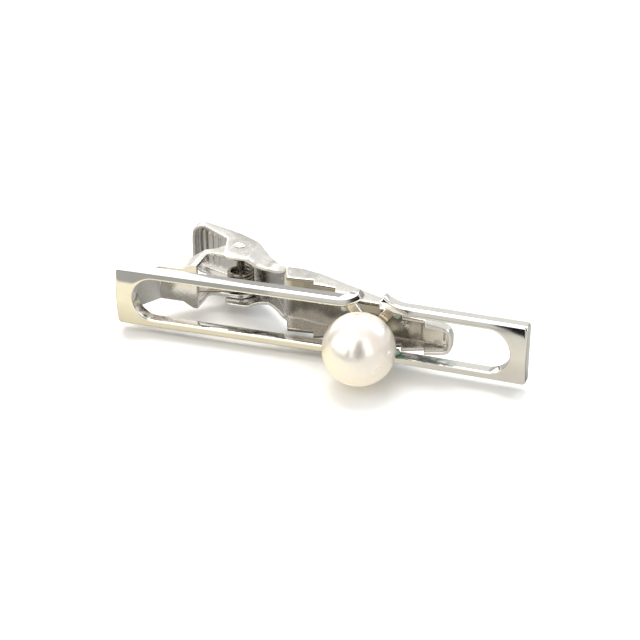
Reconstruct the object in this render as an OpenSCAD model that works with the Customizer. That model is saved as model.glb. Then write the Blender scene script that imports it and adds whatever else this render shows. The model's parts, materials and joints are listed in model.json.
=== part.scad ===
// Tie clip with a pearl: an open two-wing bar, a cross-shaped seat that carries
// the pearl, and a sprung alligator clip behind it.
// X runs along the bar, Y runs back from it and Z is up. The origin is on the
// bar's back plane, at mid height, on the axis of the pearl.

/* [Bar] */
// Height of the bar
bar_h = 7; // [6:0.1:9]
// Thickness of the bar at the middle of its crowned front
bar_t = 1.8; // [1.5:0.1:2.4]
// Radius of the crown across the front
crown_r = 14; // [12:1:30]
// Height of one rail
rail_h = 0.95; // [0.8:0.05:1.2]
// Length of the left wing
left_len = 28.7; // [28:0.1:36]
// Length of the right wing
right_len = 16.3; // [13:0.1:22]
// Solid end of the left wing, outside its slot
left_pad = 2; // [1.8:0.1:3]
// Solid end of the right wing, outside its slot
right_pad = 1.8; // [1.2:0.1:3]
// Radius of the outer corners
corner_r = 0.4; // [0.2:0.05:0.8]
// Angle by which the right wing stands forward of the left
wing_toe = 2.3; // [0:0.1:3]

/* [Flare] */
// Gap between the two wings, at the middle of their rails
gap_w = 2.4; // [2:0.1:3.2]
// Bend radius of a flared rail
flare_r = 4.2; // [3.6:0.1:5.5]
// Angle through which a rail bends
flare_deg = 40; // [25:1:45]

/* [Pearl seat] */
// Diameter of the pearl
pearl_d = 8; // [7:0.1:9]
// Width of one arm of the cross
arm_w = 1.1; // [0.8:0.05:1.4]
// Thickness of the cross
arm_t = 0.55; // [0.4:0.05:0.7]
// Depth of the back of the cross below the back of the bar
arm_in = 0.55; // [0.5:0.05:0.7]
// Angle of an arm above the bar's axis
arm_deg = 50; // [44:1:56]
// Radius of the hub that the cup sits on
hub_r = 1.6; // [1.2:0.1:2]
// Radius of the pearl's cup
cup_r = 2.2; // [1.8:0.1:2.6]
// Thickness of the cup's floor
cup_floor = 0.44; // [0.3:0.02:0.7]
// Depth of the cup's wall
cup_wall = 0.72; // [0.6:0.02:0.9]
// Radius of the peg in the pearl
peg_r = 0.4; // [0.3:0.05:0.5]
// Length of the peg inside the pearl
peg_len = 4; // [3:0.1:5]
// Thickness of the cement under and inside the pearl
cement_t = 0.06; // [0.04:0.01:0.1]

/* [Clip base] */
// Distance of the pivot left of the pearl
pivot_left = 18.7; // [17.5:0.1:20]
// Distance of the pivot behind the bar
pivot_back = 9; // [8.6:0.1:10]
// Width of the base over its ears
base_w = 5.56; // [5:0.02:5.6]
// Width of the base's foot, ramp and web
web_w = 4.2; // [3.8:0.1:4.6]
// Sheet thickness of the base
base_t = 0.5; // [0.4:0.05:0.6]
// Length of the foot soldered to the bar
foot_len = 1.2; // [1:0.05:1.3]
// Distance of the foot from the bar's left end
foot_in = 0.3; // [0.2:0.05:0.4]
// Distance of the base's web behind the bar
web_back = 3.2; // [2.8:0.1:3.6]
// Length of the base's web
web_len = 4.6; // [4:0.1:5]
// Radius of an ear round the pivot
ear_r = 2; // [1.8:0.1:2.3]

/* [Lever] */
// Sheet thickness of the lever
lever_t = 0.4; // [0.3:0.05:0.5]
// Side clearance between a cheek and an ear
cheek_gap = 0.06; // [0.04:0.01:0.1]
// Radius of a cheek round the pivot
lobe_r = 3.3; // [2.9:0.1:3.5]
// Length of the thumb pad left of the pivot
thumb_len = 7.7; // [7:0.1:9]
// Depth of the rim round the thumb pad
rim_h = 1.9; // [1.4:0.1:2.2]
// Number of grip ribs on the thumb pad
rib_count = 4; // [3:1:5]
// Distance between two ribs
rib_pitch = 0.8; // [0.7:0.05:0.9]
// Radius of a rib
rib_r = 0.12; // [0.08:0.01:0.15]
// Length of the jaw, from the waist to its tip
jaw_len = 20.75; // [19:0.05:21.5]
// Width of the lever at its neck, between the cheeks and the jaw
neck_w = 4.7; // [4.5:0.1:5.4]
// Radius of the neck's sides
neck_r = 3.75; // [3.5:0.05:4]
// Width of the jaw at the waist
jaw_w = 6.8; // [6.5:0.1:7]
// Width of the jaw near its tip
tip_w = 3.5; // [3:0.1:3.8]
// Number of teeth on each edge of the jaw
tooth_count = 6; // [4:1:6]
// Distance between two teeth
tooth_pitch = 2.7; // [2.4:0.1:2.8]
// Rise of a tooth's back
tooth_rise = 0.4; // [0.2:0.05:0.5]

/* [Pivot and spring] */
// Radius of the rivet
pin_r = 0.5; // [0.4:0.05:0.6]
// Running clearance round the rivet
pin_gap = 0.03; // [0.02:0.01:0.06]
// Radius of a rivet head
head_r = 0.8; // [0.7:0.05:1]
// Height of a rivet head
head_h = 0.3; // [0.2:0.05:0.4]
// Diameter of the spring wire
wire_d = 0.45; // [0.35:0.05:0.5]
// Outer diameter of the spring
coil_d = 3.2; // [2.8:0.1:3.4]
// Turns in the spring, not counting its last half turn
coil_turns = 4; // [3:1:4]

/* [Hidden] */
$fn = 96;

// depth by which a rivet head is sunk into its shank
weld = 0.01;
// longer than anything here, for cuts that go right through
far = 80;

// bar
half_h = bar_h / 2;
slot_r = half_h - rail_h;
rail_mid = half_h - rail_h / 2;
flare_run = flare_r * sin(flare_deg);
flare_x = gap_w / 2 + flare_run;
flare_z = rail_mid + flare_r;
left_end = -(gap_w / 2 + left_len);

// pearl seat
cross_front = -(arm_in + arm_t);
pearl_r = pearl_d / 2;
bead_r = 0.45;

// clip base
pivot = [-pivot_left, pivot_back];
foot_x0 = left_end + foot_in;
foot_x1 = foot_x0 + foot_len;
web_x1 = -pivot_left - ear_r - 1.2;
web_x0 = web_x1 - web_len;
ramp_deg = atan2(web_back, web_x0 - foot_x1);
flange_h = 1.3;

// lever; thumb_deg and jaw_deg are the falls of its two straight stretches
cheek_in = base_w / 2 + cheek_gap;
cheek_out = cheek_in + lever_t;
thumb_deg = 19.3;
jaw_deg = 15.3;
fall_deg = 56;
waist = pivot + [7.1, -3.85];
heel = waist + [2, 0.05];
neck_x = pivot[0] + ear_r + 2.5;
tip_x = waist[0] + jaw_len;
thumb_end = pivot + [-thumb_len, lobe_r + thumb_len * tan(thumb_deg)];
tooth_x0 = waist[0] + 4.3;
tooth_y0 = 1.35;
tooth_drop = 0.59;
tip_r = 1;
head_gap = 0.04;

// points of an arc about c, from angle a0 to a1
function arc(c, r, a0, a1, n = 12) =
    [for (i = [0:n]) let (a = a0 + (a1 - a0) * i / n) c + r * [cos(a), sin(a)]];

// where the line from p touches the circle about c; side is 1 or -1
function touch(p, c, r, side) =
    let (v = p - c, a = atan2(v[1], v[0]) + side * acos(r / norm(v)))
    c + r * [cos(a), sin(a)];

// an open outline moved sideways by d, to its right
function shifted(pts, d) =
    let (n = len(pts))
    [for (i = [0:n - 1])
        let (v = pts[min(i + 1, n - 1)] - pts[max(i - 1, 0)])
        pts[i] + d * [v[1], -v[0]] / norm(v)];

// a flat outline drawn in X and Y, as a slab of height h about the mid plane
module slab(h) {
    translate([0, 0, -h / 2])
        linear_extrude(height = h)
            children();
}

// a flat outline drawn in X and Z, from y0 back to y1
module upright(y0, y1) {
    translate([0, y1, 0])
        rotate([90, 0, 0])
            linear_extrude(height = y1 - y0)
                children();
}

// ---------------------------------------------------------------- the bar

// one rail's bend away from the slot, for a wing that runs towards +X
module flare() {
    intersection() {
        translate([flare_x, flare_z])
            difference() {
                circle(r = flare_r + rail_h / 2);
                circle(r = flare_r - rail_h / 2);
            }
        polygon([
            [flare_x, flare_z],
            [flare_x, flare_z - 3 * flare_r],
            [flare_x - 3 * flare_r * sin(flare_deg), flare_z - 3 * flare_r * cos(flare_deg)]
        ]);
    }
}

module wing_outline(length, pad) {
    end = gap_w / 2 + length;
    slot_end = end - pad - slot_r;
    difference() {
        polygon(concat(
            [[flare_x, half_h], [flare_x, -half_h]],
            arc([end - corner_r, corner_r - half_h], corner_r, -90, 0, 6),
            arc([end - corner_r, half_h - corner_r], corner_r, 0, 90, 6)
        ));
        translate([slot_end, 0])
            circle(r = slot_r);
        translate([0, -slot_r])
            square([slot_end, 2 * slot_r]);
    }
    flare();
    mirror([0, 1])
        flare();
}

// a hairpin wing with a crowned front and a flat back
module wing(length, pad) {
    intersection() {
        upright(-bar_t - 1, 0)
            wing_outline(length, pad);
        translate([-1, crown_r - bar_t, 0])
            rotate([0, 90, 0])
                cylinder(r = crown_r, h = far);
    }
}

module left_wing() {
    color("gainsboro")
        mirror([1, 0, 0])
            wing(left_len, left_pad);
}

module right_wing() {
    color("gainsboro")
        rotate([0, 0, -wing_toe])
            wing(right_len, right_pad);
}

// ---------------------------------------------------------- the pearl seat

// the round underside of the four flared rails
module rail_undersides() {
    for (turn = [0, 1], side = [-1, 1])
        mirror([turn, 0, 0])
            rotate([0, 0, turn == 0 ? -wing_toe : 0])
                translate([flare_x, 0, side * flare_z])
                    rotate([90, 0, 0])
                        cylinder(r = flare_r + rail_h / 2, h = far, center = true);
}

module cross_seat() {
    reach = flare_z;
    color("silver")
        difference() {
            upright(cross_front, -arm_in) {
                circle(r = hub_r);
                for (a = [arm_deg, 180 - arm_deg])
                    rotate(a)
                        square([2 * reach, arm_w], center = true);
            }
            rail_undersides();
            translate([0, 0, flare_z - 1])
                cube([far, far, 2 * (flare_z - 1 - half_h)], center = true);
            translate([0, 0, 1 - flare_z])
                cube([far, far, 2 * (flare_z - 1 - half_h)], center = true);
        }
}

// four beads in the corners between arms and rails, and a fillet behind the foot
module solder_joints() {
    bead_z = slot_r - 0.05;
    bead_x = bead_z / tan(arm_deg) + arm_w / 2 / sin(arm_deg) + 0.15;
    color("darkgray") {
        for (x = [-1, 1], z = [-1, 1])
            difference() {
                translate([x * bead_x, cross_front + 0.1, z * bead_z])
                    sphere(r = bead_r);
                left_wing();
                right_wing();
                cross_seat();
            }
        slab(web_w - 0.6)
            polygon([
                [foot_x1, 0],
                [foot_x1 + 0.45, 0],
                [foot_x1 + 0.45 * cos(ramp_deg), 0.45 * sin(ramp_deg)]
            ]);
    }
}

// something round about the pearl's axis; children point along +Z, which is
// turned to run forward from the front of the cross
module on_seat() {
    translate([0, cross_front, 0])
        rotate([90, 0, 0])
            children();
}

module pearl_ball(r) {
    translate([0, 0, cup_floor + cement_t + pearl_r])
        sphere(r = r);
}

module pearl_cup() {
    color("silver")
        on_seat()
            difference() {
                cylinder(r = cup_r, h = cup_floor + cup_wall);
                pearl_ball(pearl_r + cement_t);
                translate([0, 0, -1])
                    cylinder(r = peg_r, h = 3);
            }
}

module pearl_peg() {
    color("silver")
        on_seat()
            cylinder(r = peg_r, h = cup_floor + cement_t + peg_len);
}

module pearl_cement() {
    color("lightyellow")
        on_seat()
            difference() {
                intersection() {
                    pearl_ball(pearl_r + cement_t);
                    union() {
                        cylinder(r = cup_r, h = cup_floor + cup_wall);
                        cylinder(r = peg_r + cement_t, h = cup_floor + cement_t + peg_len);
                    }
                }
                difference() {
                    pearl_ball(pearl_r);
                    cylinder(r = peg_r + cement_t, h = cup_floor + cement_t + peg_len);
                }
                translate([0, 0, -1])
                    cylinder(r = peg_r, h = far);
            }
}

module pearl() {
    color("ivory")
        on_seat()
            difference() {
                pearl_ball(pearl_r);
                cylinder(r = peg_r + cement_t, h = cup_floor + cement_t + peg_len);
            }
}

// ------------------------------------------------------------ the clip base

// front line of the bent strip: foot, ramp and web
base_front = [[foot_x0, 0], [foot_x1, 0], [web_x0, web_back], [web_x1, web_back]];
base_bend = base_t * tan(ramp_deg / 2);
base_inner = [
    [foot_x0 - 1, base_t],
    [foot_x1 - base_bend, base_t],
    [web_x0 - base_bend, web_back + base_t],
    [web_x1, web_back + base_t]
];

// the base seen from behind; inset draws the inside of its side flanges
module base_plan(inset = 0) {
    narrow = web_w / 2 - inset;
    wide = base_w / 2 - inset;
    side = [
        [foot_x0 - inset, narrow],
        [web_x1 - 1.8, narrow],
        [web_x1 - 0.6, wide],
        [pivot[0] + ear_r + inset, wide]
    ];
    polygon(concat(side, [for (i = [len(side) - 1:-1:0]) [side[i][0], -side[i][1]]]));
}

module base_side() {
    shoulder = [web_x0 + 2.3, web_back + base_t + 2.85];
    neck = [web_x1 + 0.6, pivot[1] - 0.6];
    translate(pivot)
        circle(r = ear_r);
    polygon(concat(
        base_front,
        arc([web_x1 + 0.7, pivot[1] - ear_r - 0.7], 0.7, 180, 90, 6),
        [
            pivot - [0, ear_r],
            touch(neck, pivot, ear_r, -1),
            neck,
            shoulder,
            [web_x0 - 0.1, web_back + flange_h * 0.9],
            [foot_x1 - 0.2, flange_h],
            [foot_x0, base_t]
        ]
    ));
}

module clip_base() {
    color("lightgray")
        difference() {
            intersection() {
                slab(2 * far)
                    base_side();
                upright(-far, far)
                    base_plan();
            }
            intersection() {
                slab(2 * far)
                    polygon(concat(
                        base_inner,
                        [[web_x1, -1], [pivot[0] + far, -1], [pivot[0] + far, far], [foot_x0 - 1, far]]
                    ));
                upright(-far, far)
                    base_plan(base_t);
            }
            translate([pivot[0], pivot[1], 0])
                cylinder(r = pin_r + pin_gap / 2, h = far, center = true);
        }
}

// --------------------------------------------------------------- the lever

// the back of the lever's web, from the thumb pad to the tip: the fall behind the
// cheeks is an arc that leaves the thumb pad's line smoothly and meets the waist
fall_end = waist + [-0.3, 0.5] - pivot;
fall_r = ((lobe_r - fall_end[1]) * cos(thumb_deg) - fall_end[0] * sin(thumb_deg))
    / (1 - cos(fall_deg - thumb_deg));
fall_c = pivot + fall_end - fall_r * [sin(fall_deg), cos(fall_deg)];
lever_back = concat(
    [thumb_end],
    arc(fall_c, fall_r, 90 - thumb_deg, 90 - fall_deg, 10),
    [waist, heel, [tip_x + 1, heel[1] - (tip_x + 1 - heel[0]) * tan(jaw_deg)]]
);

// the toothed edge, from the waist to the tip
function tooth_y(k) = tooth_y0 - tooth_drop * k;
jaw_edge = concat(
    [[waist[0] + 0.95, tooth_y(-1) + 0.15]],
    [for (k = [0:tooth_count - 1], step = [0, 1])
        let (x = tooth_x0 + k * tooth_pitch)
        step == 0 ? [x - 0.25, tooth_y(k - 1) + tooth_rise] : [x, tooth_y(k)]],
    [[tip_x + 1, tooth_y(tooth_count - 1) + 0.2]]
);

module lever_side() {
    rim = thumb_end - [0, rim_h];
    shoulder = pivot + [-2.1, 1.4];
    intersection() {
        translate(pivot)
            circle(r = lobe_r);
        polygon(concat(lever_back, [[tip_x + 1, -far], [thumb_end[0], -far]]));
        polygon([
            shoulder,
            pivot + [-0.85, -far],
            pivot + [far, -far],
            pivot + [far, far],
            shoulder + [0, far]
        ]);
    }
    polygon(concat(
        lever_back,
        [for (i = [len(jaw_edge) - 1:-1:0]) jaw_edge[i]],
        [
            waist + [0.1, -0.75],
            waist + [-0.5, -0.75],
            pivot + [4.6, -lobe_r],
            pivot + [0, -lobe_r],
            shoulder,
            rim + [1.6, 0],
            rim
        ]
    ));
}

// the lever seen from behind; inset draws the inside of its walls
module lever_plan(inset = 0) {
    half = cheek_out - inset;
    jaw_half = jaw_w / 2 - inset;
    tip_half = tip_w / 2 - inset;
    round_r = tip_r - inset / 2;
    thumb_x = thumb_end[0] + inset;
    neck = neck_w / 2 - inset;
    right = concat(
        [[thumb_x + 1.1, half]],
        arc(
            [neck_x, neck + neck_r], neck_r,
            270 - acos(1 - (half - neck) / neck_r), 270 + acos(1 - (jaw_half - neck) / neck_r), 10
        ),
        [[tooth_x0, jaw_half], [tip_x - 2.3, tip_half]],
        arc([tip_x - inset - round_r, tip_half - 0.15 - round_r], round_r, 80, 0, 8)
    );
    left = [[thumb_x, half * 0.45], [thumb_x + 0.18, half * 0.82]];
    polygon(concat(
        left,
        right,
        [for (i = [len(right) - 1:-1:0]) [right[i][0], -right[i][1]]],
        [for (i = [1:-1:0]) [left[i][0], -left[i][1]]]
    ));
}

module rib(k, grow = 0) {
    x = thumb_end[0] + 1.1 + k * rib_pitch;
    y = thumb_end[1] - (x - thumb_end[0]) * tan(thumb_deg);
    translate([x, y - grow, 0])
        cylinder(r = rib_r, h = 2 * cheek_in - 1.2, center = true);
}

module clip_lever() {
    web_inner = shifted(lever_back, lever_t);
    pad_x = tip_x - 3.9;
    color("lightgray")
        difference() {
            union() {
                difference() {
                    intersection() {
                        slab(2 * far)
                            lever_side();
                        upright(-far, far)
                            lever_plan();
                    }
                    intersection() {
                        slab(2 * far)
                            polygon(concat(web_inner, [[tip_x + 1, -far], [thumb_end[0], -far]]));
                        upright(-far, far)
                            lever_plan(lever_t);
                    }
                }
                for (k = [0:rib_count - 1])
                    rib(k, lever_t);
                // pressed pad and pip inside the jaw's tip
                slab(tip_w - 2 * lever_t - 0.3)
                    polygon([
                        [pad_x, web_at(pad_x) - 0.35],
                        [pad_x + 2.9, web_at(pad_x + 2.9) - 0.35],
                        [pad_x + 2.9, web_at(pad_x + 2.9) + 0.1],
                        [pad_x, web_at(pad_x) + 0.1]
                    ]);
                translate([pad_x - 2, web_at(pad_x - 2), 0])
                    sphere(r = 0.4);
            }
            for (k = [0:rib_count - 1])
                rib(k);
            translate([pivot[0], pivot[1], 0])
                cylinder(r = pin_r + pin_gap, h = far, center = true);
        }
}

// inner face of the jaw's web at x
function web_at(x) = heel[1] - (x - heel[0]) * tan(jaw_deg) - lever_t / cos(jaw_deg);

// --------------------------------------------------------- pivot and spring

module pivot_rivet() {
    grip = cheek_out + head_gap;
    color("silver")
        translate([pivot[0], pivot[1], 0]) {
            cylinder(r = pin_r, h = 2 * grip, center = true);
            for (side = [0, 1])
                mirror([0, 0, side])
                    translate([0, 0, grip - weld])
                        intersection() {
                            cylinder(r = head_r, h = head_h + weld);
                            translate([0, 0, head_h - head_r * 1.4])
                                sphere(r = head_r * 1.4);
                        }
        }
}

// path of the spring wire: a leg on the base's web, the coil, a leg under the thumb pad
coil_r = (coil_d - wire_d) / 2;
coil_z0 = -base_w / 2 + base_t + wire_d / 2 + 0.05;
coil_rise = wire_d + 0.03;
leg_base = [web_x1 - 2.9, web_back + base_t + wire_d / 2 + 0.03];
leg_lever = thumb_end + [4.2, -4.2 * tan(thumb_deg) - (lever_t + wire_d / 2 + 0.06) / cos(thumb_deg)];
coil_in = touch(leg_base, pivot, coil_r, 1) - pivot;
coil_out = touch(leg_lever, pivot, coil_r, -1) - pivot;
coil_a0 = atan2(coil_in[1], coil_in[0]);
coil_a1 = atan2(coil_out[1], coil_out[0]) + 360 * coil_turns;
coil_steps = 20 * coil_turns;
leg_base_z = 0.2 + base_t + wire_d / 2 - web_w / 2;
spring_path = concat(
    [[leg_base[0], leg_base[1], leg_base_z]],
    [for (i = [0:coil_steps])
        let (a = coil_a0 + (coil_a1 - coil_a0) * i / coil_steps)
        [
            pivot[0] + coil_r * cos(a),
            pivot[1] + coil_r * sin(a),
            coil_z0 + coil_rise * (a - coil_a0) / 360
        ]],
    [[leg_lever[0], leg_lever[1], coil_z0 + coil_rise * (coil_a1 - coil_a0) / 360]]
);

// a round wire along a path that never runs straight up
module wire(path, d, sides = 8) {
    n = len(path);
    points = [for (i = [0:n - 1])
        let (
            run = path[min(i + 1, n - 1)] - path[max(i - 1, 0)],
            out = cross(run, [0, 0, 1]) / norm(cross(run, [0, 0, 1])),
            up = cross(out, run) / norm(run)
        )
        for (k = [0:sides - 1])
            path[i] + d / 2 * (cos(360 * k / sides) * out + sin(360 * k / sides) * up)];
    walls = [for (i = [0:n - 2], k = [0:sides - 1])
        let (next = (k + 1) % sides)
        [i * sides + k, i * sides + next, (i + 1) * sides + next, (i + 1) * sides + k]];
    polyhedron(
        points = points,
        faces = concat(
            walls,
            [[for (k = [sides - 1:-1:0]) k]],
            [[for (k = [0:sides - 1]) (n - 1) * sides + k]]
        ),
        convexity = 10
    );
}

module torsion_spring() {
    color("dimgray")
        wire(spring_path, wire_d);
}

left_wing();
right_wing();
cross_seat();
solder_joints();
pearl_cup();
pearl_peg();
pearl_cement();
pearl();
clip_base();
pivot_rivet();
torsion_spring();
clip_lever();
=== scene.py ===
import json
import math

import bmesh
import bpy
import numpy as np
from mathutils import Matrix, Vector, noise

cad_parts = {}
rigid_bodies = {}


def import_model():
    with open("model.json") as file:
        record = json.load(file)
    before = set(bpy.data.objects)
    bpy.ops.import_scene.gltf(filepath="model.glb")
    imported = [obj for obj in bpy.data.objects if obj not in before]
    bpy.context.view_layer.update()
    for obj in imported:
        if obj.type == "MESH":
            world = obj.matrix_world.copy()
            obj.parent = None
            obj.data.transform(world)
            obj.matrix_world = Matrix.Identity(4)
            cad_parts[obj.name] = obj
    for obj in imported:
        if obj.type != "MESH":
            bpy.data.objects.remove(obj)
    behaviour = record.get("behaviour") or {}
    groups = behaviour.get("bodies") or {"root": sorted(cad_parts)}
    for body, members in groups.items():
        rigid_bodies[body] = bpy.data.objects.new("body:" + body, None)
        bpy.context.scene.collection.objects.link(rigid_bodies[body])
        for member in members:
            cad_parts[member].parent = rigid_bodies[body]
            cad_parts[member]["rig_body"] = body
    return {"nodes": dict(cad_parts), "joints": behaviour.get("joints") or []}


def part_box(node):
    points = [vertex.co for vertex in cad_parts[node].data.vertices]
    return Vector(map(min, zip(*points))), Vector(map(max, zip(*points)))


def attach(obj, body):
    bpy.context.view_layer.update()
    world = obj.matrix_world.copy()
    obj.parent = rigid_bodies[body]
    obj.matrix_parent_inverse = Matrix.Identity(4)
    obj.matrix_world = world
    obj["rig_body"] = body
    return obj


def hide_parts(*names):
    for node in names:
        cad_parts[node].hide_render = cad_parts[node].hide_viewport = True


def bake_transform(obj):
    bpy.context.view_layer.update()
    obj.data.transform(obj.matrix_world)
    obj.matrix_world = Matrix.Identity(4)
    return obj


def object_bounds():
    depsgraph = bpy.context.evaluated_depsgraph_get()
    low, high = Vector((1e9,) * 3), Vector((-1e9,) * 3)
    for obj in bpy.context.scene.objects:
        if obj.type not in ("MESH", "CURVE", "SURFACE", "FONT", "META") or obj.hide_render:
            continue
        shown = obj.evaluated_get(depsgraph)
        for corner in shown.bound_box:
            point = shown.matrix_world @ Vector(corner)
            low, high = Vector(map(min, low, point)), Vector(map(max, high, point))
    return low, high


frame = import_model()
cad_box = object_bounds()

# The object's lengths are in millimetres, in the row's frame. Lights, reflectors and camera are in metres.
MM = 0.001


def box_mm(node):
    """Lowest and highest corners of a CAD node, in millimetres."""
    low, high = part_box(node)
    return np.array(low) / MM, np.array(high) / MM


# ------------------------------------------------------------------ dimensions

LEFT_LOW = box_mm("left_wing")[0]
PEARL_LOW, PEARL_HIGH = box_mm("pearl")
CUP_LOW, CUP_HIGH = box_mm("pearl_cup")
LEVER_LOW, LEVER_HIGH = box_mm("clip_lever")
BASE_LOW, BASE_HIGH = box_mm("clip_base")
RIVET_HIGH = box_mm("pivot_rivet")[1]
SOLDER_HIGH = box_mm("solder_joints")[1]
JOINT = frame["joints"][0]

# bar
BAR_HALF = 3.5
BAR_T = -LEFT_LOW[1]
CROWN_R = 14.0
RAIL_H = 0.95
GAP = 2.4
FLARE_R = 4.2
FLARE_DEG = 40.0
LEFT_LEN = -LEFT_LOW[0] - GAP / 2
RIGHT_LEN = 16.3
LEFT_PAD = 2.0
RIGHT_PAD = 1.8
CORNER_R = 0.4
TOE_DEG = 2.3
FRONT_EDGE = 0.22
BACK_EDGE = 0.1
CAP_EDGE = 0.12
SLOT_R = BAR_HALF - RAIL_H
FLARE_X = GAP / 2 + FLARE_R * math.sin(math.radians(FLARE_DEG))
FLARE_Z = BAR_HALF - RAIL_H / 2 + FLARE_R

# clip base
BASE_T = 0.5
BASE_WEB_Y = 3.2
BASE_WEB_HALF = 2.1

# clip lever
PIVOT = np.array(JOINT["pos_m"][:2]) / MM
LEVER_T = 0.4
BEND_R = 0.55
RIM_R = 0.11
CHEEK_OUT = 3.24
LOBE_R = 3.3
WAIST = PIVOT + [7.1, -3.85]
HEEL = WAIST + [2.0, 0.05]
TIP_X = LEVER_HIGH[0]
THUMB_X = LEVER_LOW[0]
THUMB_DEG = 19.3
THUMB_SLOPE = math.tan(math.radians(THUMB_DEG))
THUMB_END = np.array([THUMB_X, PIVOT[1] + LOBE_R + (PIVOT[0] - THUMB_X) * THUMB_SLOPE])
JAW_DEG = 15.3
FALL_DEG = 56.0
WALL_H = 1.9
JAW_HALF = 3.4
TIP_HALF = 1.75
NECK_HALF = 2.35
NECK_R = 3.75
NECK_X = PIVOT[0] + 4.5
TOOTH_COUNT = 6
TOOTH_PITCH = 2.7
TOOTH_LEAN = 0.25
TOOTH_RISE = 0.4
TOOTH_DROP = 0.59
TOOTH_X = WAIST[0] + 4.3
TOOTH_Y = 1.35
RIB_COUNT = 4
RIB_PITCH = 0.8
RIB_HALF = 0.2
RIB_DEPTH = 0.14
PAD_X = TIP_X - 3.9
PAD_LEN = 2.9
PAD_RISE = 0.33
PIP_R = 0.4

# spring
WIRE_R = 0.225
WIRE_GAP = 0.03
COIL_R = 1.375
COIL_TURNS = 4

# pearl and seat
CROSS_FRONT = -1.1
PEARL_R = (PEARL_HIGH[0] - PEARL_LOW[0]) / 2
PEARL_C = (PEARL_LOW + PEARL_HIGH) / 2
CUP_R = CUP_HIGH[0]


# -------------------------------------------------------------------- materials

def new_material(name):
    """A node material, its tree's nodes and links, its coordinates and its Principled shader."""
    mat = bpy.data.materials.new(name)
    mat.use_nodes = True
    nodes = mat.node_tree.nodes
    return mat, nodes, mat.node_tree.links, nodes.new("ShaderNodeTexCoord"), nodes["Principled BSDF"]


def grain(nodes, links, coord, scale, detail=3.0, rough=0.5, squeeze=None):
    """Noise over object coordinates, in cycles per metre; squeeze scales the axes first."""
    tex = nodes.new("ShaderNodeTexNoise")
    tex.inputs["Scale"].default_value = scale
    tex.inputs["Detail"].default_value = detail
    tex.inputs["Roughness"].default_value = rough
    place = coord.outputs["Object"]
    if squeeze is not None:
        mapping = nodes.new("ShaderNodeMapping")
        mapping.inputs["Scale"].default_value = squeeze
        links.new(place, mapping.inputs["Vector"])
        place = mapping.outputs["Vector"]
    links.new(place, tex.inputs["Vector"])
    return tex.outputs["Fac"]


def ramp(nodes, links, source, stops):
    """A socket's value turned into greys or colours; stops are (position, grey or colour)."""
    node = nodes.new("ShaderNodeValToRGB")
    elements = node.color_ramp.elements
    for i, (position, colour) in enumerate(stops):
        element = elements[i] if i < 2 else elements.new(position)
        element.position = position
        element.color = (*colour, 1) if isinstance(colour, tuple) else (colour, colour, colour, 1)
    links.new(source, node.inputs["Fac"])
    return node.outputs["Color"]


def mix_colour(nodes, links, factor, a, b):
    """Mixes two colours, each a socket or a colour, by a socket."""
    node = nodes.new("ShaderNodeMix")
    node.data_type = "RGBA"
    links.new(factor, node.inputs["Factor"])
    for socket, value in ((node.inputs[6], a), (node.inputs[7], b)):
        if isinstance(value, tuple):
            socket.default_value = (*value, 1)
        else:
            links.new(value, socket)
    return node.outputs[2]


def scaled_axis(nodes, links, vector, axis, scale=1.0, offset=0.0):
    """One axis of a vector socket, times a scale, plus an offset."""
    split = nodes.new("ShaderNodeSeparateXYZ")
    links.new(vector, split.inputs[0])
    node = nodes.new("ShaderNodeMath")
    node.operation = "MULTIPLY_ADD"
    node.inputs[1].default_value = scale
    node.inputs[2].default_value = offset
    links.new(split.outputs[axis], node.inputs[0])
    return node.outputs[0]


def product(nodes, links, a, b):
    """Two sockets multiplied."""
    node = nodes.new("ShaderNodeMath")
    node.operation = "MULTIPLY"
    links.new(a, node.inputs[0])
    links.new(b, node.inputs[1])
    return node.outputs[0]


def bump(nodes, links, height, strength, distance, below=None):
    """A bumped normal; below is the normal that it goes on top of."""
    node = nodes.new("ShaderNodeBump")
    node.inputs["Strength"].default_value = strength
    node.inputs["Distance"].default_value = distance
    links.new(height, node.inputs["Height"])
    if below is not None:
        links.new(below, node.inputs["Normal"])
    return node.outputs["Normal"]


def forward_mask(nodes, links, coord, stops):
    """Stops along X, from -20 to 20 mm, on faces that look forward; 0 on the rest."""
    facing = scaled_axis(nodes, links, coord.outputs["Normal"], "Y", -1.0)
    along = scaled_axis(nodes, links, coord.outputs["Object"], "X", 25.0, 0.5)
    forward = ramp(nodes, links, facing, [(0.3, 0.0), (0.6, 1.0)])
    return product(nodes, links, forward, ramp(nodes, links, along, stops))


def shaded_jaw(nodes, links, coord, bsdf, tone):
    """The clip's plate, with painted shade in the jaw's hollow (its forward faces darkened to dark brown)
    and satin inside the waist.
    """
    jaw = forward_mask(nodes, links, coord, [(0.205, 0.0), (0.23, 1.0), (0.5, 0.9), (0.6, 0.35), (0.7, 0.1)])
    waist = forward_mask(nodes, links, coord, [(0.1, 0.0), (0.13, 1.0), (0.2, 1.0), (0.225, 0.0)])
    links.new(ramp(nodes, links, waist, [(0.0, 1.0), (1.0, 0.35)]), bsdf.inputs["Metallic"])
    # painted shade: the forward faces inside the jaw turn dark brown
    return mix_colour(nodes, links, jaw, tone, (0.27, 0.25, 0.22))


def jaw_reflection_and_green_mask(nodes, links, coord):
    """Patches on the upward faces of the lower rail, right of the seat, for a painted dark reflection of the
    jaw's tip and for green marks.
    """
    upward = scaled_axis(nodes, links, coord.outputs["Normal"], "Z")
    along = scaled_axis(nodes, links, coord.outputs["Object"], "X", 50.0)
    low = scaled_axis(nodes, links, coord.outputs["Object"], "Z", -200.0)
    blotch = grain(nodes, links, coord, 700, 4, 0.6)
    mask = ramp(nodes, links, upward, [(0.2, 0.0), (0.5, 1.0)])
    limits = [
        (along, [(0.06, 0.0), (0.1, 1.0), (0.4, 0.7), (0.52, 0.0)]),
        (low, [(0.3, 0.0), (0.4, 1.0)]),
        (blotch, [(0.4, 0.0), (0.5, 1.0)]),
    ]
    for source, stops in limits:
        mask = product(nodes, links, mask, ramp(nodes, links, source, stops))
    return mask


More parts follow.
